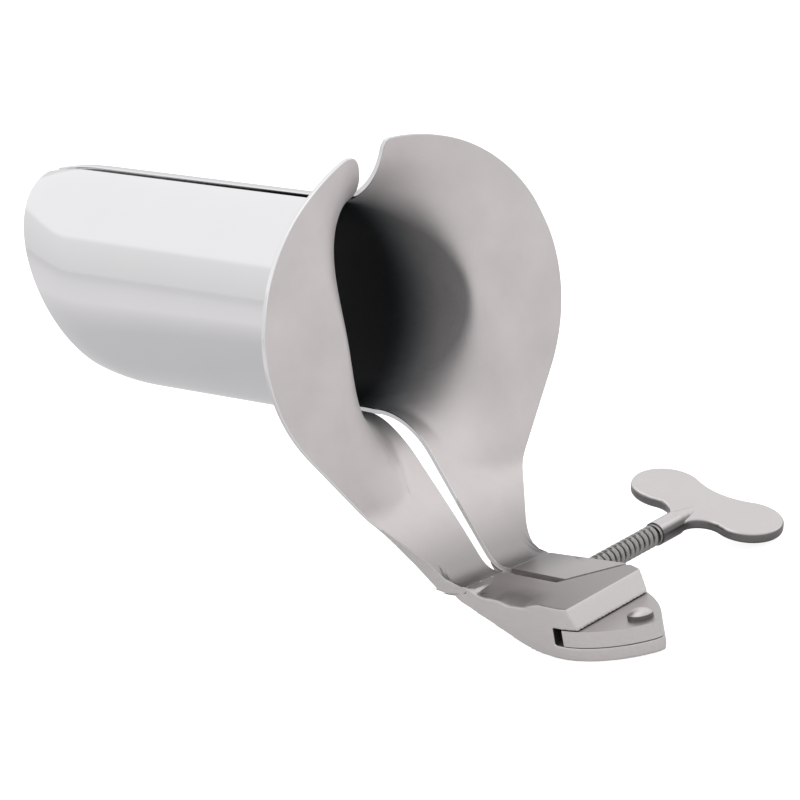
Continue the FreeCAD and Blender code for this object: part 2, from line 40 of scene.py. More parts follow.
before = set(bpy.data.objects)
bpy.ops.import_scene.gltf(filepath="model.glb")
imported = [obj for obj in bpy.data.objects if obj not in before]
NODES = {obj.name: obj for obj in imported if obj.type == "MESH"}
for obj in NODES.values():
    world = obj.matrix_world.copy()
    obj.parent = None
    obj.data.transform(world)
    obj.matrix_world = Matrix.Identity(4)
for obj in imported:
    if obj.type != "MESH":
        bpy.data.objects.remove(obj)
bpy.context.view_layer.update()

MM = 0.001
QUARTER = math.pi / 2

# How finely the blades are meshed. Lengths are millimetres, as in all of the blade's surface.
COLUMNS = 150
TUBE_ROWS, MOUTH_ROWS = 36, 120
BORDER = 0.42
BORDER_TURN = math.radians(1.2)
MARCH = 0.5
NUDGE = 1e-3

# Each half: its side of the middle plane, the notch at the top of its rim (depth, width and
# shoulder) and how much the gap beside its strap widens, in millimetres.
HALVES = (("near", -1, (11.0, 4.8, 3.5), 1.0),
          ("far", 1, (1.6, 0.3, 0.9), 0.3))

# Material slots of a blade, and the height up to which its outside is finished as the arm is.
OUTSIDE, INSIDE, ARM = range(3)
ARM_FINISH_TOP = 19.0 * MM

# Sockets of a Mix node that is set to colours.
MIX_A, MIX_B, MIX_RESULT = 6, 7, 2
WHITE = (1.0, 1.0, 1.0, 1.0)


# ---------------------------------------------------------------- properties

def length(name, value, description, low=0.0):
    return bpy.props.FloatProperty(name=name, default=value * MM, min=low, unit="LENGTH",
                                   precision=4, description=description)


def angle(name, value, description):
    return bpy.props.FloatProperty(name=name, default=math.radians(value), subtype="ANGLE",
                                   description=description)


def colour(name, value, description):
    return bpy.props.FloatVectorProperty(name=name, default=value, size=3, min=0.0, max=1.0,
                                         subtype="COLOR", description=description)


def share(name, value, description):
    return bpy.props.FloatProperty(name=name, default=value, min=0.0, max=1.0,
                                   subtype="FACTOR", description=description)


class SPECULUM_PG_blades(bpy.types.PropertyGroup):
    axis_height: length("Tube axis height", 51.1, "Tube axis above the joint's underside")
    half_width: length("Tube half width", 13.1, "Inside half width of the closed oval tube")
    half_height: length("Tube half height", 17.9, "Inside half height of the closed oval tube")
    wall: length("Sheet", 1.1, "Thickness of the pressed sheet")
    half_gap: length("Half gap", 0.85, "Half of the gap between the closed halves")
    tip_reach: length("Blade end", 134.9, "Rivet to the blade end, on the tube axis")
    tip_rake: angle("Blade end rake", 21.8, "Lean of the oblique blade end")
    mouth_setback: length("Mouth setback", 45.1, "Rivet to the front face of the mouth flange")
    side_radius: length("Side bend", 3.0, "Inside bend of the flange at the sides")
    top_radius: length("Top bend", 19.0, "Inside bend of the flange at top and bottom")
    rim_half_width: length("Rim half width", 31.4, "Half width of the oval rim")
    rim_half_height: length("Rim half height", 30.0, "Half height of the oval rim")
    strap_start: length("Strap start", 61.3, "Rivet to where the tube floor starts to dip")
    strap_dip: length("Strap dip", 15.0, "Bend from the tube floor into the strap")
    strap_slope: angle("Strap slope", 55.5, "Fall of the strap")
    strap_foot: length("Strap foot", 5.0, "Bend from the strap into the arm")
    crease: length("Crease", 5.0, "Rounding between the strap and the bell")
    side_slope: angle("Strap side slope", 55.0, "Lean of the strap's sides from the front")
    waist_radius: length("Waist radius", 12.0, "Hollow corner at the foot of the strap's side")
    arm_half_width: length("Arm half width", 9.3, "Half width of the arms at the strap")
    arm_seam: length("Seam", 32.5, "Rivet to the brazed seam")
    arm_height: length("Arm height", 8.7, "Height of the arms at the joint")
    tip_roll: length("End roll", 1.1, "How far the blade end is rolled inwards")
    tip_roll_reach: length("End roll reach", 12.0, "How far from the end the roll starts")
    arm_roll: length("Arm roll", 1.3, "Drop of the near arm's top at its polished outer edge")
    arm_swell: length("Arm swell", 2.5, "How far the arm swells behind the foot of the strap")


class SPECULUM_PG_screw(bpy.types.PropertyGroup):
    reach: length("Screw reach", 23.5, "Rivet to the screw axis, on the middle line")
    height: length("Screw height", 5.7, "Screw axis above the underside")
    lean: angle("Screw lean", 11.5, "Turn of the screw away from square")
    thread_radius: length("Thread radius", 1.85, "Outer radius of the thread")
    core_radius: length("Core radius", 1.25, "Radius at the thread's root")
    pitch: length("Pitch", 1.33, "Distance from turn to turn")
    thread_reach: length("Thread end", 30.1, "Middle line to the end of the thread")
    tip: length("Tip", -0.727, "Middle line to the round tip", low=-1.0)


class SPECULUM_PG_finish(bpy.types.PropertyGroup):
    polished: colour("Polished steel", (0.83, 0.825, 0.835), "Outside of the blades")
    satin: colour("Satin steel", (0.74, 0.705, 0.695), "Inside and mouth of the blades")
    joint: colour("Joint steel", (0.66, 0.635, 0.625), "Arms, joint and rivet")
    wing: colour("Wing steel", (0.63, 0.605, 0.60), "Thumb wing and its stem")
    # the thread's steel, set darker than the other steel
    dark_thread: colour("Dark thread steel", (0.36, 0.35, 0.345), "Thread of the screw")
    polished_roughness: share("Polish", 0.08, "Roughness of the polished steel")
    satin_roughness: share("Satin", 0.42, "Roughness of the satin steel")
    satin_metal: share("Satin metal", 0.45, "How much of the light the satin steel mirrors")


# ---------------------------------------------------------------- shares

def between(value, zero, one):
    """0 up to one place, 1 from the other on, and straight in between."""
    return np.clip((value - zero) / (one - zero), 0.0, 1.0)


def smooth(part):
    """The same share with soft ends."""
    return part * part * (3 - 2 * part)


def place_in_scene(piece):
    bpy.context.scene.collection.objects.link(piece)


# ---------------------------------------------------------------- blade surface
# The sheet lies between two offsets of one surface: an oval bore that opens in a rolled bell,
# cut by the floor, strap and arm level. It is worked out in millimetres, for the half at +Y.

class BladeForm:
    """Signed distance to the inside face of the pressed sheet, positive in the metal."""

    def __init__(self, sizes):
        for name in sizes.__annotations__:
            value = getattr(sizes, name)
            turned = name in ("tip_rake", "strap_slope", "side_slope")
            setattr(self, name, value if turned else value / MM)
        sine, cosine = math.sin(self.strap_slope), math.cos(self.strap_slope)
        dip, foot = self.strap_dip, self.strap_foot
        self.floor = self.axis_height - self.half_height
        self.dip_centre = (-self.strap_start, self.floor - dip)
        self.run_start = (self.dip_centre[0] + dip * sine, self.dip_centre[1] + dip * cosine)
        self.run = (self.run_start[1] - self.arm_height - foot * (1 - cosine)) / sine
        run_end = (self.run_start[0] + self.run * cosine, self.run_start[1] - self.run * sine)
        self.foot_centre = (run_end[0] + foot * sine, run_end[1] + foot * cosine)

    def bell(self, x, y, z):
        """Distance from the bore and its rolled mouth."""
        width, height = self.half_width, self.half_height
        across, up = np.abs(y), np.abs(z - self.axis_height)
        # the nearest point of the oval, in a few rounds from its middle
        cosine = np.full_like(across, 0.7071)
        sine = np.full_like(across, 0.7071)
        spread = width * width - height * height
        for _ in range(6):
            ex = spread * cosine ** 3 / width
            ey = -spread * sine ** 3 / height
            reach = np.hypot(width * cosine - ex, height * sine - ey)
            qx, qy = across - ex, up - ey
            span = np.maximum(np.hypot(qx, qy), 1e-9)
            cosine = np.clip((qx * reach / span + ex) / width, 0.0, 1.0)
            sine = np.clip((qy * reach / span + ey) / height, 0.0, 1.0)
            total = np.maximum(np.hypot(cosine, sine), 1e-9)
            cosine, sine = cosine / total, sine / total
        away = np.hypot(across - width * cosine, up - height * sine)
        inside = (across / width) ** 2 + (up / height) ** 2 < 1
        away = np.where(inside, -away, away)
        ease = smooth(np.arctan2(sine, cosine) / QUARTER)
        radius = self.side_radius + (self.top_radius - self.side_radius) * ease
        qx = x + self.mouth_setback + radius
        qy = radius - away
        outer = np.hypot(np.maximum(qx, 0), np.maximum(qy, 0))
        return radius - outer - np.minimum(np.maximum(qx, qy), 0)

    def strap(self, x, z):
        """Distance below the tube's floor, the strap and the arm's level, whichever is nearest."""
        slope = self.strap_slope
        far = 1e6

        def in_bend(turn):
            return (turn >= QUARTER - slope) & (turn <= QUARTER)

        dx, dz = x - self.dip_centre[0], z - self.dip_centre[1]
        rx, rz = x - self.run_start[0], z - self.run_start[1]
        fx, fz = x - self.foot_centre[0], z - self.foot_centre[1]
        along = rx * math.cos(slope) - rz * math.sin(slope)
        beside = -(rx * math.sin(slope) + rz * math.cos(slope))
        stack = np.array([
            np.where(x <= self.dip_centre[0], self.floor - z, far),
            np.where(in_bend(np.arctan2(dz, dx)), self.strap_dip - np.hypot(dx, dz), far),
            np.where((along >= 0) & (along <= self.run), beside, far),
            np.where(in_bend(np.arctan2(-fz, -fx)), np.hypot(fx, fz) - self.strap_foot, far),
            np.where(x >= self.foot_centre[0], self.arm_height - z, far)])
        best = np.argmin(np.abs(stack), axis=0)
        chosen = np.take_along_axis(stack, best[None], axis=0)[0]
        return np.where(np.abs(chosen) > far / 2, beside, chosen)

    def distance(self, point):
        """Bell and strap as one surface, with the crease between them rounded."""
        x, y, z = point
        bell = self.bell(x, y, z)
        strap = self.strap(x, z)
        bell_slope = np.array([self.bell(x + NUDGE, y, z), self.bell(x, y + NUDGE, z),
                               self.bell(x, y, z + NUDGE)])
        bell_slope = (bell_slope - bell) / NUDGE
        strap_slope = np.array([self.strap(x + NUDGE, z) - strap, np.zeros_like(x),
                                self.strap(x, z + NUDGE) - strap])
        strap_slope = strap_slope / NUDGE
        cosine = np.clip(np.sum(bell_slope * strap_slope, axis=0), -1, 1)
        a, b = bell + self.crease, strap + self.crease
        wedge = (a - cosine * b > 0) & (b - cosine * a > 0) & (cosine < 0.9995)
        spread = np.maximum(1 - cosine * cosine, 1e-6)
        square = (a * a + b * b - 2 * a * b * cosine) / spread
        rounded = np.sqrt(np.maximum(square, 0)) - self.crease
        return np.where(wedge, rounded, np.maximum(bell, strap))


def blade_edge(form, notch_low, notch_wide, notch_radius):
    """The half's edge seen from the front, as (y, z) points from the top of the split, round
    the rim and down the strap, to the split at the arm."""
    gap, axis, side = form.half_gap, form.axis_height, form.arm_half_width
    width, height = form.rim_half_width, form.rim_half_height
    points = []

    def on_rim(turn):
        return np.array([width * math.cos(turn), axis + height * math.sin(turn)])

    def straight(start, end, count):
        points.extend(start + (end - start) * part for part in np.linspace(0, 1, count)[1:])

    # notch: straight from the split to the rim, with a rounded shoulder
    foot = np.array([gap, axis + height - notch_low])
    rim_turn = math.acos((gap + notch_wide) / width)
    corner = on_rim(rim_turn)
    rise = (corner - foot) / np.linalg.norm(corner - foot)
    fall = np.array([math.sin(rim_turn) * width, -math.cos(rim_turn) * height])
    fall = fall / np.linalg.norm(fall)
    half = math.acos(float(np.clip(np.dot(-rise, fall), -1, 1))) / 2
    setback = min(notch_radius / math.tan(half), 0.9 * np.linalg.norm(corner - foot))
    start = corner - rise * setback
    points.append(foot)
    straight(foot, start, 12)
    end_turn = rim_turn - setback / width
    end = on_rim(end_turn)
    for part in np.linspace(0, 1, 14)[1:]:
        rest = 1 - part
        points.append(rest ** 2 * start + 2 * part * rest * corner + part ** 2 * end)

    # rim, to where the strap's side leaves it
    leave = math.atan2(height, width * math.tan(form.side_slope))
    points.extend(on_rim(turn) for turn in np.linspace(end_turn, -leave, 80)[1:])

    # side of the strap, and the hollow corner at its foot
    last = points[-1]
    waist = np.array([side, last[1] - (last[0] - side) * math.tan(form.side_slope)])
    setback = form.waist_radius * math.tan((QUARTER - form.side_slope) / 2)
    down = (waist - last) / np.linalg.norm(waist - last)
    bend_start = waist - down * setback
    straight(last, bend_start, 14)
    centre = np.array([side + form.waist_radius, waist[1] - setback])
    first = math.atan2(bend_start[1] - centre[1], bend_start[0] - centre[0])
    for turn in np.linspace(first, math.pi, 12)[1:]:
        points.append(centre + form.waist_radius * np.array([math.cos(turn), math.sin(turn)]))

    # side of the arm, and back to the split
    toe = np.array([side, form.arm_height - form.wall])
    straight(np.array([side, centre[1]]), toe, 14)
    straight(toe, np.array([gap, toe[1]]), 12)
    return np.array(points)


def column_turns(form, edge):
    """Where the sheet's columns stand round the tube axis, even along the edge, and how square
    each of them meets it."""
    lengths = np.concatenate([[0], np.cumsum(np.hypot(*np.diff(edge, axis=0).T))])
    y, z = edge[:, 0] - form.half_gap, edge[:, 1] - form.axis_height
    polar = np.concatenate([[QUARTER], np.arctan2(z, y)[1:-1], [-QUARTER]])
    polar = np.minimum.accumulate(polar)
    turns = np.interp(np.linspace(0, lengths[-1], COLUMNS), lengths, polar)
    inner = turns[np.abs(turns) < QUARTER - 1.5 * BORDER_TURN]
    turns = np.concatenate([[QUARTER, QUARTER - BORDER_TURN], inner,
                            [BORDER_TURN - QUARTER, -QUARTER]])
    turns = turns[np.concatenate([[True], np.diff(turns) < -1e-4])]
    along = np.gradient(np.interp(-turns, -polar, lengths), turns)
    reach = np.interp(-turns, -polar, np.hypot(y, z))
    return turns, np.clip(reach / np.maximum(np.abs(along), 1e-6), 0.2, 1.0)


def trace_sheet(form, edge, turns, level):
    """One face of the sheet: for each column its (x, reach) points from the blade end on."""
    axis, gap = form.axis_height, form.half_gap
    polar = np.arctan2(edge[:, 1] - axis, edge[:, 0] - gap)
    reach = np.hypot(edge[:, 0] - gap, edge[:, 1] - axis)
    order = np.argsort(polar)
    edge_reach = np.interp(turns, polar[order], reach[order])
    cosine, sine = np.cos(turns), np.sin(turns)

    def value(x, r):
        return form.distance(np.array([x, gap + r * cosine, axis + r * sine])) - level

    def blade_end(r):
        return -form.tip_reach - math.tan(form.tip_rake) * r * sine

    r = np.full_like(turns, form.half_height)
    for _ in range(12):
        here = value(blade_end(r), r)
        there = value(blade_end(r + NUDGE), r + NUDGE)
        r = r - here * NUDGE / (there - here)
    x = blade_end(r)
    paths = [np.array([x, r])]
    for _ in range(600):
        for _ in range(2):
            here = value(x, r)
            gx = (value(x + NUDGE, r) - here) / NUDGE
            gr = (value(x, r + NUDGE) - here) / NUDGE
            size = np.maximum(gx * gx + gr * gr, 1e-9)
            x, r = x - here * gx / size, r - here * gr / size
        if len(paths) > 1:
            paths[-1] = np.array([x, r])
        size = np.sqrt(size)
        x, r = x + MARCH * gr / size, r - MARCH * gx / size
        paths.append(np.array([x, r]))
        if np.all((r > edge_reach) | (x > -form.arm_seam)):
            break
    paths = np.array(paths[:-1])

    columns = []
    for j, limit in enumerate(edge_reach):
        px, pr = paths[:, 0, j], paths[:, 1, j]
        out = np.nonzero((pr > limit) | (px > -form.arm_seam))[0]
        stop = out[0] if len(out) else len(px) - 1
        parts = [1.0]
        if pr[stop] > limit:
            parts.append((limit - pr[stop - 1]) / (pr[stop] - pr[stop - 1]))
        if px[stop] > -form.arm_seam:
            parts.append((-form.arm_seam - px[stop - 1]) / (px[stop] - px[stop - 1]))
        last = min(parts)
        columns.append([np.append(path[:stop],
                                  path[stop - 1] + last * (path[stop] - path[stop - 1]))
                        for path in (px, pr)])
    return columns


def open_gap(form, x, y, z, widening):
    """The gap between the straps is widest below the tube: moves the inner edge outwards."""
    fall = between(z, form.floor, form.arm_height) * (x > -form.strap_start)
    near_edge = between(y, form.half_gap + 8.0, form.half_gap)
    return y + widening * np.sin(np.pi * fall ** 0.4) ** 2 * near_edge


def sheet_grid(form, columns, turns, skew, widening):
    """Even rows on every column: a few along the tube, many through the bell and the strap."""
    grid = np.zeros((TUBE_ROWS + MOUTH_ROWS + 1, len(columns), 3))
    for j, (px, pr) in enumerate(columns):
        run = np.concatenate([[0], np.cumsum(np.hypot(np.diff(px), np.diff(pr)))])
        total = run[-1]
        bend = min(np.interp(-form.strap_start - 6.0, px, run), total - 3.0)
        inset = min(BORDER / skew[j], 2.0)
        rows = np.concatenate([[0.0], np.linspace(BORDER, bend, TUBE_ROWS),
                               np.linspace(bend, total - inset, MOUTH_ROWS)[1:], [total]])
        x = np.interp(rows, run, px)
        r = np.interp(rows, run, pr) - form.tip_roll * between(rows, form.tip_roll_reach, 0) ** 2
        y = form.half_gap + r * math.cos(turns[j])
        z = form.axis_height + r * math.sin(turns[j])
        grid[:, j] = np.stack([x, open_gap(form, x, y, z, widening), z], axis=-1)
    return grid


def swell_arm(form, face):
    """The brazed arm swells behind the foot of the strap, square to the strap."""
    x, y, z = face[:, :, 0], face[:, :, 1], face[:, :, 2]
    # it grows down the strap's foot, and fades towards the gap and the seam
    below = smooth(between(z, 20.0, 10.5) * (x > -55.0))
    swell = form.arm_swell * below * between(y, 1.5, 6.5) * between(x, -33.4, -36.8)
    face[:, :, 0] -= swell * math.sin(form.strap_slope)
    face[:, :, 2] -= swell * math.cos(form.strap_slope)


def sheet_quads(rows, count):
    """Faces of the inside, the outside and the edge between them, and which are inside ones."""
    quads, inside = [], []

    def add(is_inside, *corners):
        quads.append([(level * rows + i) * count + j for level, i, j in corners])
        inside.append(is_inside)

    for i in range(rows - 1):
        for j in range(count - 1):
            add(True, (0, i, j), (0, i + 1, j), (0, i + 1, j + 1), (0, i, j + 1))
            add(False, (1, i, j), (1, i, j + 1), (1, i + 1, j + 1), (1, i + 1, j))
    last, end = count - 1, rows - 1
    for i in range(rows - 1):
        add(False, (0, i, 0), (1, i, 0), (1, i + 1, 0), (0, i + 1, 0))
        add(False, (0, i, last), (0, i + 1, last), (1, i + 1, last), (1, i, last))
    for j in range(count - 1):
        add(False, (0, 0, j), (0, 0, j + 1), (1, 0, j + 1), (1, 0, j))
        add(False, (0, end, j), (1, end, j), (1, end, j + 1), (0, end, j + 1))
    return quads, inside


def build_blade(sizes, name, side, notch, widening):
    """One pressed half: inside and outside of the sheet, joined round the edge and softened."""
    form = BladeForm(sizes)
    edge = blade_edge(form, *notch)
    turns, skew = column_turns(form, edge)
    inner_face, outer_face = (
        sheet_grid(form, trace_sheet(form, edge, turns, level), turns, skew, widening)
        for level in (0.0, form.wall))
    swell_arm(form, outer_face)
    points = np.concatenate([face.reshape(-1, 3) for face in (inner_face, outer_face)]) * MM
    points[:, 1] *= side
    quads, inside = sheet_quads(*inner_face.shape[:2])
    mesh = bpy.data.meshes.new(name)
    mesh.from_pydata(points.tolist(), [], quads)
    low = points[np.array(quads), 2].mean(axis=1) < ARM_FINISH_TOP
    mesh.polygons.foreach_set(
        "material_index", np.where(inside, INSIDE, np.where(low, ARM, OUTSIDE)).tolist())
    work = bmesh.new()
    work.from_mesh(mesh)
    bmesh.ops.recalc_face_normals(work, faces=work.faces)
    work.to_mesh(mesh)
    work.free()
    mesh.shade_smooth()
    blade = bpy.data.objects.new(name, mesh)
    place_in_scene(blade)
    soften(blade, 0.26, 38)
    return blade


def soften(piece, width, limit):
    """Broken, polished edges, where faces meet at more than the limit in degrees."""
    bevel = piece.modifiers.new("Broken edges", "BEVEL")
    bevel.width = width * MM
    bevel.segments = 3
    bevel.limit_method = "ANGLE"
    bevel.angle_limit = math.radians(limit)
    bevel.use_clamp_overlap = False
    bevel.harden_normals = True


# ---------------------------------------------------------------- nodes

def socket_type(value):
    if value is None:
        return "NodeSocketMaterial"
    if isinstance(value, tuple):
        return "NodeSocketColor" if len(value) == 4 else "NodeSocketVector"
    return "NodeSocketFloat"


def new_group(name, kind, inputs, outputs):
    """A node group whose inputs take their kind from their values, with its two end nodes."""
    group = bpy.data.node_groups.new(name, kind)
    for label, value in inputs:
        socket = group.interface.new_socket(label, in_out="INPUT",
                                            socket_type=socket_type(value))
        if value is not None:
            socket.default_value = value
    for label, socket_kind in outputs:
        group.interface.new_socket(label, in_out="OUTPUT", socket_type=socket_kind)
    return group, group.nodes.new("NodeGroupInput"), group.nodes.new("NodeGroupOutput")


def group_of(name, make):
    return bpy.data.node_groups.get(name) or make(name)


def add_node(tree, kind, **settings):
    """A node, with its inputs and its own settings given by name."""
    node = tree.nodes.new(kind)
    for key, value in settings.items():
        if key in node.inputs:
            node.inputs[key].default_value = value
        else:
            setattr(node, key, value)
    return node


def calculate(tree, operation, *sources):
    """A Math node on sockets and numbers."""
    node = add_node(tree, "ShaderNodeMath", operation=operation)
    for place, source in enumerate(sources):
        if isinstance(source, bpy.types.NodeSocket):
            tree.links.new(source, node.inputs[place])
        else:
            node.inputs[place].default_value = source
    return node.outputs[0]


def multiply(tree, first, second):
    """One colour times another, or times a value."""
    mix = add_node(tree, "ShaderNodeMix", data_type="RGBA", blend_type="MULTIPLY", Factor=1.0)
    tree.links.new(first, mix.inputs[MIX_A])
    tree.links.new(second, mix.inputs[MIX_B])
    return mix.outputs[MIX_RESULT]


def noise(tree, vector, scale, detail, roughness):
    node = add_node(tree, "ShaderNodeTexNoise", Detail=detail, Roughness=roughness)
    tree.links.new(vector, node.inputs["Vector"])
    tree.links.new(scale, node.inputs["Scale"])
    return node.outputs["Fac"]


def colour_ramp(tree, factor, *stops):
    """Straight blends between stops, each a position and a colour."""
    node = tree.nodes.new("ShaderNodeValToRGB")
    node.color_ramp.interpolation = "LINEAR"
    first, last = node.color_ramp.elements
    first.position, first.color = stops[0]
    last.position, last.color = stops[-1]
    for position, shade in stops[1:-1]:
        node.color_ramp.elements.new(position).color = shade
    tree.links.new(factor, node.inputs["Fac"])
    return node.outputs["Color"]


def ramp_along(tree, kind, axis, start, end, least, most=1.0):
    """A value that falls from most at start to least at end, by place or by face direction."""
    place = tree.nodes.new("ShaderNodeTexCoord")
    split = tree.nodes.new("ShaderNodeSeparateXYZ")
    value = add_node(tree, "ShaderNodeMapRange", interpolation_type="SMOOTHSTEP")
    low, high = (end, start) if start > end else (start, end)
    first, last = (least, most) if start > end else (most, least)
    for socket, number in (("From Min", low), ("From Max", high), ("To Min", first),
                           ("To Max", last)):
        value.inputs[socket].default_value = number
    tree.links.new(place.outputs[kind], split.inputs["Vector"])
    tree.links.new(split.outputs[axis], value.inputs["Value"])
    return value.outputs["Result"]


# ---------------------------------------------------------------- finishes and painted shade

PATTERN_OUTPUTS = [("Colour", "NodeSocketColor"), ("Roughness", "NodeSocketFloat"),
                   ("Height", "NodeSocketFloat")]


def vary(group, entry, leave, pattern):
    """Lets a pattern around 0.5 lighten and roughen the steel, by the group's strength."""
    away = calculate(group, "SUBTRACT", pattern, 0.5)
    amount = calculate(group, "MULTIPLY", away, entry.outputs["Strength"])
    bright = calculate(group, "ADD", amount, 1.0)
    group.links.new(multiply(group, entry.outputs["Colour"], bright), leave.inputs["Colour"])
    group.links.new(calculate(group, "ADD", entry.outputs["Roughness"], amount),
                    leave.inputs["Roughness"])


def satin_group(name):
    """Fine blasted grain with faint cloudy handling marks."""
    group, entry, leave = new_group(
        name, "ShaderNodeTree",
        [("Colour", (0.7, 0.7, 0.7, 1.0)), ("Roughness", 0.35), ("Grain size", 4500.0),
         ("Cloud size", 90.0), ("Strength", 0.06)], PATTERN_OUTPUTS)
    place = group.nodes.new("ShaderNodeTexCoord").outputs["Object"]
    grain = noise(group, place, entry.outputs["Grain size"], 3.0, 0.6)
    vary(group, entry, leave, noise(group, place, entry.outputs["Cloud size"], 4.0, 0.55))
    group.links.new(grain, leave.inputs["Height"])
    return group


def ground_group(name):
    """Grinding lines, along the axis that the vector is squeezed on."""
    group, entry, leave = new_group(
        name, "ShaderNodeTree",
        [("Vector", (0.0, 0.0, 0.0)), ("Colour", (0.7, 0.7, 0.7, 1.0)), ("Roughness", 0.3),
         ("Line size", 2200.0), ("Strength", 0.1)], PATTERN_OUTPUTS)
    lines = noise(group, entry.outputs["Vector"], entry.outputs["Line size"], 5.0, 0.65)
    vary(group, entry, leave, lines)
    group.links.new(lines, leave.inputs["Height"])
    return group


def steel(name, base, roughness, bump, strength, ground=False):
    """A steel finish, blasted to a satin grain or ground with lines along the arms. The bump is
    the relief's strength, and the other strength is how much the pattern varies the steel."""
    material = bpy.data.materials.new(name)
    material.use_nodes = True
    tree = material.node_tree
    shader = tree.nodes["Principled BSDF"]
    shader.inputs["Metallic"].default_value = 1.0
    pattern = tree.nodes.new("ShaderNodeGroup")
    if ground:
        pattern.node_tree = group_of("Grinding lines", ground_group)
        place = tree.nodes.new("ShaderNodeTexCoord")
        stretch = add_node(tree, "ShaderNodeMapping", Scale=(0.15, 1.0, 1.0))
        tree.links.new(place.outputs["Object"], stretch.inputs["Vector"])
        tree.links.new(stretch.outputs["Vector"], pattern.inputs["Vector"])
    else:
        pattern.node_tree = group_of("Satin grain", satin_group)
    for socket, value in (("Colour", (*base, 1.0)), ("Roughness", roughness),
                          ("Strength", strength)):
        pattern.inputs[socket].default_value = value
    relief = add_node(tree, "ShaderNodeBump", Strength=bump, Distance=0.0001)
    tree.links.new(pattern.outputs["Colour"], shader.inputs["Base Color"])
    tree.links.new(pattern.outputs["Roughness"], shader.inputs["Roughness"])
    tree.links.new(pattern.outputs["Height"], relief.inputs["Height"])
    tree.links.new(relief.outputs["Normal"], shader.inputs["Normal"])
    return material


def tone(material, factor):
    """The steel's colour times a factor that changes over the piece."""
    tree = material.node_tree
    base = tree.nodes["Principled BSDF"].inputs["Base Color"]
    tree.links.new(multiply(tree, base.links[0].from_socket, factor), base)


def paint_shade(material, kind, axis, start, end, least, tint=WHITE[:3]):
    """Painted shade towards one end of the piece, or on faces that look one way, with a tint
    where the shade is deepest."""
    tree = material.node_tree
    level = ramp_along(tree, kind, axis, start, end, least)
    tinted = add_node(tree, "ShaderNodeMix", data_type="RGBA", blend_type="MIX")
    tinted.inputs[MIX_A].default_value = (*tint, 1.0)
    tinted.inputs[MIX_B].default_value = WHITE
    tree.links.new(level, tinted.inputs["Factor"])
    tone(material, multiply(tree, tinted.outputs[MIX_RESULT], level))


def satin_steel(finish):
    """Inside of the blades: half blasted, half bright, and with painted shade, darker the deeper
    it lies.
    """
    material = steel("Satin steel", finish.satin, finish.satin_roughness,
                     bump=0.25, strength=0.3)
    tree = material.node_tree
    mirrored = ramp_along(tree, "Object", "Z", 0.038, 0.026, 1.0, finish.satin_metal)
    tree.links.new(mirrored, tree.nodes["Principled BSDF"].inputs["Metallic"])
    # painted shade down the bore, round the bend from the mouth, and low on the strap
    paint_shade(material, "Object", "X", -0.0540, -0.0690, 0.055, (0.80, 0.96, 1.06))
    paint_shade(material, "Normal", "X", 0.8, 0.05, 0.70, (0.90, 0.99, 1.04))
    paint_shade(material, "Object", "Z", 0.0200, 0.0090, 0.55)
    return material


def ground_steel(finish):
    """Far arm: ground, with painted shade on its top and on the part under the strap."""
    material = steel("Ground steel", finish.joint, 0.38, bump=0.08, strength=0.16, ground=True)
    paint_shade(material, "Normal", "Z", 0.6, 0.97, 0.74)
    paint_shade(material, "Object", "X", -0.0215, -0.0335, 0.52)
    return material


def shaded_top_steel(finish):
    """Near arm: painted shade on its top, up to the ground bevel."""
    material = steel("Forged steel", finish.joint, 0.42, bump=0.05, strength=0.16, ground=True)
    tree = material.node_tree
    # painted shade on faces that look up, with less of it low on the arm
    tone(material, calculate(tree, "MAXIMUM",
                             ramp_along(tree, "Normal", "Z", 0.75, 0.98, 0.58),
                             ramp_along(tree, "Object", "Z", 0.0052, 0.0062, 0.0, 0.85)))
    return material


def rivet_steel(finish):
    """Rivet: bright on top, with painted shade round its side."""
    material = steel("Rivet steel", finish.joint, 0.36, bump=0.05, strength=0.12)
    paint_shade(material, "Normal", "Z", 0.95, 0.55, 0.30)
    return material


def wing_steel(finish):
    """Wing: its faces bright, with painted shade on its edge and stem."""
    material = steel("Wing steel", finish.wing, 0.26, bump=0.06, strength=0.16)
    paint_shade(material, "Normal", "Z", 0.75, 0.25, 0.30)
    return material


def coat(node, material):
    """Gives a piece from the frame its finish."""
    if not node.material_slots:
        node.data.materials.append(material)
    for slot in node.material_slots:
        slot.material = material


# ---------------------------------------------------------------- near arm

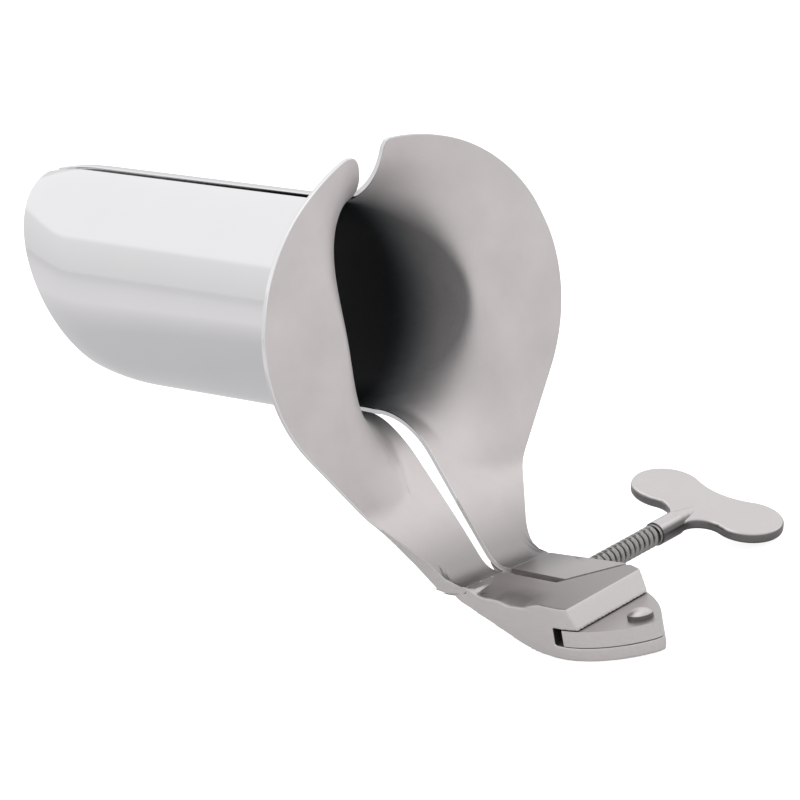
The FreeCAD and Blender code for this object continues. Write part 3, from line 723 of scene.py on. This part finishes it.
def build_near_block(sizes, material):
    """The near arm as it left the polishing wheel: soft edges, and a top that rolls down to a
    wavy outer edge."""
    source = NODES["near_joint_block"]
    block = bpy.data.objects.new("near_arm", source.data.copy())
    block.data.transform(source.matrix_world)
    place_in_scene(block)
    even = block.modifiers.new("Even mesh", "REMESH")
    even.mode = "VOXEL"
    even.voxel_size = 0.2 * MM
    soft = block.modifiers.new("Soft edges", "SMOOTH")
    soft.factor = 0.5
    soft.iterations = 3
    bpy.context.view_layer.update()
    evaluated = block.evaluated_get(bpy.context.evaluated_depsgraph_get())
    mesh = bpy.data.meshes.new_from_object(evaluated)
    limits = np.array([vertex.co[:] for vertex in block.data.vertices])
    block.modifiers.clear()
    block.data = mesh
    points = np.zeros(len(mesh.vertices) * 3)
    mesh.vertices.foreach_get("co", points)
    points = points.reshape(-1, 3)
    x, y, z = points.T / MM
    level, seam = sizes.arm_height / MM, -sizes.arm_seam / MM

    # the top rolls down to the outer edge, in waves, and not at the two ends
    half_width = np.interp(x, (seam, -10.0), (sizes.arm_half_width / MM, 10.3))
    across = between(-y, half_width - 5.5, half_width)
    wave = (1.0 + 0.2 * np.sin(2 * math.pi * (x + 2.0) / 10.5)
            + 0.05 * np.sin(2 * math.pi * x / 4.6))
    ends = smooth(between(x, -12.5, -17.5) * between(x, -32.5, -27.5))
    points[:, 2] -= sizes.arm_roll * across ** 2 * between(z, 4.2, level) * wave * ends

    # the top meets the strap's foot without a step, and the toe stays behind the swollen strap
    corner = (z > level - 0.7) & (x < seam + 0.7) & (x > seam - 0.4)
    points[corner, 0] = (seam - 0.05) * MM
    near_seam = ((z > level - 0.45) & (x < seam + 2.5) & (x > seam - 0.4)
                 & (-y < half_width - 0.3))
    points[near_seam | corner, 2] = level * MM
    points[:, 1] += 0.35 * MM * between(x, seam - 1.5, seam - 4.5)
    points[:, 0] = np.maximum(points[:, 0], (seam - 5.5) * MM)
    points = np.clip(points, limits.min(axis=0), limits.max(axis=0))
    mesh.vertices.foreach_set("co", points.ravel())
    mesh.materials.clear()
    mesh.materials.append(material)
    mesh.shade_smooth()
    return block


# ---------------------------------------------------------------- thread

def thread_group(name):
    """Core and helical rib of a screw along Z, from 0 to the length."""
    group, entry, leave = new_group(
        name, "GeometryNodeTree",
        [("Length", 0.0274), ("Pitch", 0.00133), ("Core radius", 0.00142),
         ("Crest radius", 0.00185), ("Material", None)], [("Geometry", "NodeSocketGeometry")])
    links = group.links
    size = entry.outputs
    facet = math.radians(22.5)

    spiral = add_node(group, "GeometryNodeCurveSpiral", Resolution=32)
    links.new(calculate(group, "DIVIDE", size["Length"], size["Pitch"]),
              spiral.inputs["Rotations"])
    links.new(size["Core radius"], spiral.inputs["Start Radius"])
    links.new(size["Core radius"], spiral.inputs["End Radius"])
    links.new(size["Length"], spiral.inputs["Height"])
    upright = group.nodes.new("GeometryNodeSetCurveNormal")
    if "Mode" in upright.inputs:
        upright.inputs["Mode"].default_value = "Z Up"
    else:
        upright.mode = "Z_UP"
    links.new(spiral.outputs["Curve"], upright.inputs["Curve"])

    # the rib's section: a ring of eight corners, as high as the thread and 0.76 pitch wide
    ring = add_node(group, "GeometryNodeCurvePrimitiveCircle", Resolution=8, Radius=1.0)
    turned = add_node(group, "GeometryNodeTransform", Rotation=(0.0, 0.0, facet))
    links.new(ring.outputs["Curve"], turned.inputs["Geometry"])
    depth = calculate(group, "SUBTRACT", size["Crest radius"], size["Core radius"])
    scale = add_node(group, "ShaderNodeCombineXYZ", Z=1.0)
    links.new(calculate(group, "DIVIDE", depth, math.cos(facet)), scale.inputs["X"])
    links.new(calculate(group, "MULTIPLY", size["Pitch"], 0.38), scale.inputs["Y"])
    shaped = group.nodes.new("GeometryNodeTransform")
    links.new(turned.outputs["Geometry"], shaped.inputs["Geometry"])
    links.new(scale.outputs["Vector"], shaped.inputs["Scale"])
    rib = group.nodes.new("GeometryNodeCurveToMesh")
    rib.inputs["Fill Caps"].default_value = True
    links.new(upright.outputs["Curve"], rib.inputs["Curve"])
    links.new(shaped.outputs["Geometry"], rib.inputs["Profile Curve"])

    core = add_node(group, "GeometryNodeMeshCylinder", Vertices=48)
    links.new(size["Core radius"], core.inputs["Radius"])
    links.new(size["Length"], core.inputs["Depth"])
    lift = group.nodes.new("ShaderNodeCombineXYZ")
    links.new(calculate(group, "MULTIPLY", size["Length"], 0.5), lift.inputs["Z"])
    raised = group.nodes.new("GeometryNodeTransform")
    links.new(core.outputs["Mesh"], raised.inputs["Geometry"])
    links.new(lift.outputs["Vector"], raised.inputs["Translation"])

    join = group.nodes.new("GeometryNodeJoinGeometry")
    links.new(rib.outputs["Mesh"], join.inputs["Geometry"])
    links.new(raised.outputs["Geometry"], join.inputs["Geometry"])
    real = group.nodes.new("GeometryNodeRealizeInstances")
    links.new(join.outputs["Geometry"], real.inputs["Geometry"])
    paint = group.nodes.new("GeometryNodeSetMaterial")
    links.new(real.outputs["Geometry"], paint.inputs["Geometry"])
    links.new(size["Material"], paint.inputs["Material"])
    links.new(paint.outputs["Geometry"], leave.inputs["Geometry"])
    return group


def build_thread(screw, material):
    """The spindle: ribbed thread, with its round push tip and a plain collar."""
    group = group_of("Thread", thread_group)
    holder = bpy.data.objects.new("thread_source", bpy.data.meshes.new("thread_source"))
    place_in_scene(holder)
    modifier = holder.modifiers.new("Thread", "NODES")
    modifier.node_group = group
    sockets = {item.name: item.identifier for item in group.interface.items_tree
               if item.item_type == "SOCKET" and item.in_out == "INPUT"}
    start, collar = 2.6 * MM, 0.7 * MM
    for label, value in (("Length", screw.thread_reach - collar - start),
                         ("Pitch", screw.pitch), ("Core radius", screw.core_radius),
                         ("Crest radius", screw.thread_radius), ("Material", material)):
        modifier[sockets[label]] = value
    bpy.context.view_layer.update()
    made = holder.evaluated_get(bpy.context.evaluated_depsgraph_get())
    ribs = bpy.data.meshes.new_from_object(made)
    ribs.transform(Matrix.Translation((0, 0, start)))
    work = bmesh.new()
    work.from_mesh(ribs)
    radius = screw.thread_radius
    ball = screw.tip + radius
    bmesh.ops.create_uvsphere(work, u_segments=40, v_segments=20, radius=radius,
                              matrix=Matrix.Translation((0, 0, ball)))
    for low, high in ((ball, start + 0.2 * MM),
                      (screw.thread_reach - collar, screw.thread_reach)):
        bmesh.ops.create_cone(work, cap_ends=True, segments=48, radius1=radius,
                              radius2=radius, depth=high - low,
                              matrix=Matrix.Translation((0, 0, (low + high) / 2)))
    mesh = bpy.data.meshes.new("spindle")
    work.to_mesh(mesh)
    work.free()
    mesh.materials.append(material)
    mesh.shade_smooth()
    bpy.data.objects.remove(holder)
    # the thread stands along Z so far; it is laid along the screw's axis
    along = Vector((-math.sin(screw.lean), math.cos(screw.lean), 0))
    up = Vector((0, 0, 1))
    mesh.transform(Matrix((up.cross(along), up, along)).transposed().to_4x4())
    mesh.transform(Matrix.Translation((-screw.reach, 0, screw.height)))
    spindle = bpy.data.objects.new("ribbed_spindle", mesh)
    place_in_scene(spindle)
    sharp = spindle.modifiers.new("Edges", "EDGE_SPLIT")
    sharp.split_angle = math.radians(60)
    return spindle


# ---------------------------------------------------------------- operators

class SPECULUM_OT_blades(bpy.types.Operator):
    """Build both pressed blades with their flared mouths and straps"""
    bl_idname = "speculum.blades"
    bl_label = "Blades"

    def execute(self, context):
        finish = context.scene.speculum_finish
        outside = steel("Polished steel", finish.polished, finish.polished_roughness,
                        bump=0.012, strength=0.03)
        inside = satin_steel(finish)
        arm = steel("Arm steel", finish.joint, 0.3, bump=0.05, strength=0.16, ground=True)
        for half, side, notch, widening in HALVES:
            blade = build_blade(context.scene.speculum_blades, half + "_sheet", side, notch,
                                widening)
            for material in (outside, inside, arm):
                blade.data.materials.append(material)
            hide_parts(half + "_blade")
            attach(blade, half + "_half")
        return {"FINISHED"}


class SPECULUM_OT_joint(bpy.types.Operator):
    """Build the polished near arm, and finish the far arm and the pivot rivet"""
    bl_idname = "speculum.joint"
    bl_label = "Joint"

    def execute(self, context):
        finish = context.scene.speculum_finish
        block = build_near_block(context.scene.speculum_blades, shaded_top_steel(finish))
        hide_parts("near_joint_block")
        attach(block, "near_half")
        coat(NODES["far_joint_block"], ground_steel(finish))
        soften(NODES["far_joint_block"], 0.3, 30)
        coat(NODES["pivot_rivet"], rivet_steel(finish))
        return {"FINISHED"}


class SPECULUM_OT_screw(bpy.types.Operator):
    """Build the threaded spindle and finish the thumb wing"""
    bl_idname = "speculum.screw"
    bl_label = "Thumb screw"

    def execute(self, context):
        finish = context.scene.speculum_finish
        thread = steel("Thread steel", finish.dark_thread, 0.26, bump=0.05, strength=0.12)
        spindle = build_thread(context.scene.speculum_screw, thread)
        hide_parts("threaded_spindle")
        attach(spindle, "spindle")
        coat(NODES["thumb_wing"], wing_steel(finish))
        return {"FINISHED"}


def seen(tree, mirrored):
    """1 for rays from the camera or through glass, and a share for rays that metal mirrors."""
    path = tree.nodes.new("ShaderNodeLightPath").outputs
    straight = calculate(tree, "MAXIMUM", path["Is Camera Ray"], path["Is Transmission Ray"])
    glossy = calculate(tree, "MULTIPLY", path["Is Glossy Ray"], mirrored)
    return calculate(tree, "MAXIMUM", glossy, straight)


class SPECULUM_OT_stage(bpy.types.Operator):
    """Build the plain floor, the soft lights and the camera"""
    bl_idname = "speculum.stage"
    bl_label = "Stage"

    def execute(self, context):
        scene = context.scene
        scene.view_settings.view_transform = "Standard"
        self.make_world(scene)
        self.make_floor()
        self.make_lamps()
        self.make_camera(scene)
        return {"FINISHED"}

    def make_world(self, scene):
        """White to the camera; to the steel a room that is darker low down and in front."""
        world = bpy.data.worlds.new("Studio")
        scene.world = world
        world.use_nodes = True
        tree = world.node_tree
        tree.nodes.clear()
        out = tree.nodes.new("ShaderNodeOutputWorld")
        white = add_node(tree, "ShaderNodeBackground", Strength=1.0, Color=WHITE)
        room = add_node(tree, "ShaderNodeBackground", Strength=1.0)
        place = tree.nodes.new("ShaderNodeTexCoord")
        split = tree.nodes.new("ShaderNodeSeparateXYZ")
        tree.links.new(place.outputs["Generated"], split.inputs["Vector"])
        height = calculate(tree, "MULTIPLY_ADD", split.outputs["Z"], 0.5, 0.5)
        walls = colour_ramp(tree, height, (0.5, (0.66, 0.66, 0.665, 1)),
                            (0.632, (0.77, 0.77, 0.775, 1)), (0.648, (1.0, 0.99, 1.0, 1)))
        front = ramp_along(tree, "Generated", "X", -0.2, 0.6, 0.84)
        tree.links.new(multiply(tree, walls, front), room.inputs["Color"])
        mix = tree.nodes.new("ShaderNodeMixShader")
        tree.links.new(seen(tree, 0.3), mix.inputs["Fac"])
        tree.links.new(room.outputs[0], mix.inputs[1])
        tree.links.new(white.outputs[0], mix.inputs[2])
        tree.links.new(mix.outputs[0], out.inputs["Surface"])

    def make_floor(self):
        """A white sheet that keeps the object's shadow, with painted shade that makes it greyer
        near the blade end.
        """
        mesh = bpy.data.meshes.new("floor")
        size = 3.0
        mesh.from_pydata([(-size, -size, 0), (size, -size, 0), (size, size, 0),
                          (-size, size, 0)], [], [(0, 1, 2, 3)])
        mesh.transform(Matrix.Translation((0, 0, -0.0002)))
        floor = bpy.data.objects.new("floor", mesh)
        place_in_scene(floor)
        material = bpy.data.materials.new("Floor")
        material.use_nodes = True
        tree = material.node_tree
        shader = tree.nodes["Principled BSDF"]
        shader.inputs["Roughness"].default_value = 0.9
        shader.inputs["Specular IOR Level"].default_value = 0.0
        place = tree.nodes.new("ShaderNodeTexCoord")
        away = add_node(tree, "ShaderNodeVectorMath", operation="DISTANCE")
        away.inputs[1].default_value = (-0.17, -0.04, 0.0)
        tree.links.new(place.outputs["Object"], away.inputs[0])
        # the floor's own grey, with painted shade that makes it darker near the blade end
        floor_grey_and_shade = colour_ramp(tree, away.outputs["Value"], (0.03, (0.50, 0.50, 0.505, 1)),
                            (0.14, (0.70, 0.695, 0.695, 1)), (0.8, (0.64, 0.64, 0.64, 1)))
        tree.links.new(floor_grey_and_shade, shader.inputs["Base Color"])
        dark = add_node(tree, "ShaderNodeEmission", Strength=0.0)
        glow = add_node(tree, "ShaderNodeEmission", Strength=0.85)
        mix = tree.nodes.new("ShaderNodeMixShader")
        tree.links.new(seen(tree, 0.12), mix.inputs["Fac"])
        tree.links.new(dark.outputs[0], mix.inputs[1])
        tree.links.new(glow.outputs[0], mix.inputs[2])
        add = tree.nodes.new("ShaderNodeAddShader")
        tree.links.new(shader.outputs[0], add.inputs[0])
        tree.links.new(mix.outputs[0], add.inputs[1])
        tree.links.new(add.outputs[0], tree.nodes["Material Output"].inputs["Surface"])
        mesh.materials.append(material)

    def make_lamps(self):
        for name, place, size, power in (("overhead", (-0.35, -0.15, 0.9), 0.8, 0.7),
                                         ("right_front", (0.2, 1.0, 0.5), 0.5, 0.25)):
            lamp = bpy.data.lights.new(name, "AREA")
            lamp.shape = "SQUARE"
            lamp.size = size
            lamp.energy = power
            holder = bpy.data.objects.new(name, lamp)
            place_in_scene(holder)
            holder.location = place
            aim = Vector((-0.06, 0, 0.04)) - Vector(place)
            holder.rotation_euler = aim.to_track_quat("-Z", "Y").to_euler()

    def make_camera(self, scene):
        camera = bpy.data.cameras.new("camera")
        camera.sensor_width = 36.0
        camera.lens = 263.95
        camera.clip_start, camera.clip_end = 0.05, 20.0
        holder = bpy.data.objects.new("camera", camera)
        place_in_scene(holder)
        right = Vector((0.62400787, 0.76305193, -0.16842189))
        up = Vector((-0.10405975, 0.29475869, 0.94988888))
        back = Vector((0.77445836, -0.57521219, 0.26333473))
        turn = Matrix((right, up, back)).transposed().to_4x4()
        place = Matrix.Translation((0.70116281, -0.56054529, 0.29245924))
        holder.matrix_world = place @ turn
        scene.camera = holder


class SPECULUM_PT_panel(bpy.types.Panel):
    bl_idname = "SPECULUM_PT_panel"
    bl_label = "Speculum"
    bl_space_type = "VIEW_3D"
    bl_region_type = "UI"
    bl_category = "Speculum"

    def draw(self, context):
        for operator in OPERATORS:
            self.layout.operator(operator.bl_idname)
        for name in SETTINGS:
            group = getattr(context.scene, name)
            box = self.layout.box()
            for key in group.__annotations__:
                box.prop(group, key)


OPERATORS = (SPECULUM_OT_stage, SPECULUM_OT_blades, SPECULUM_OT_joint, SPECULUM_OT_screw)
SETTINGS = {"speculum_blades": SPECULUM_PG_blades, "speculum_screw": SPECULUM_PG_screw,
            "speculum_finish": SPECULUM_PG_finish}


def register():
    for kind in (*SETTINGS.values(), *OPERATORS, SPECULUM_PT_panel):
        bpy.utils.register_class(kind)
    for name, kind in SETTINGS.items():
        setattr(bpy.types.Scene, name, bpy.props.PointerProperty(type=kind))


def unregister():
    for name in SETTINGS:
        delattr(bpy.types.Scene, name)
    for kind in reversed((*SETTINGS.values(), *OPERATORS, SPECULUM_PT_panel)):
        bpy.utils.unregister_class(kind)


def main():
    register()
    bpy.ops.speculum.stage()
    bpy.ops.speculum.blades()
    bpy.ops.speculum.joint()
    bpy.ops.speculum.screw()


if __name__ == "__main__":
    main()
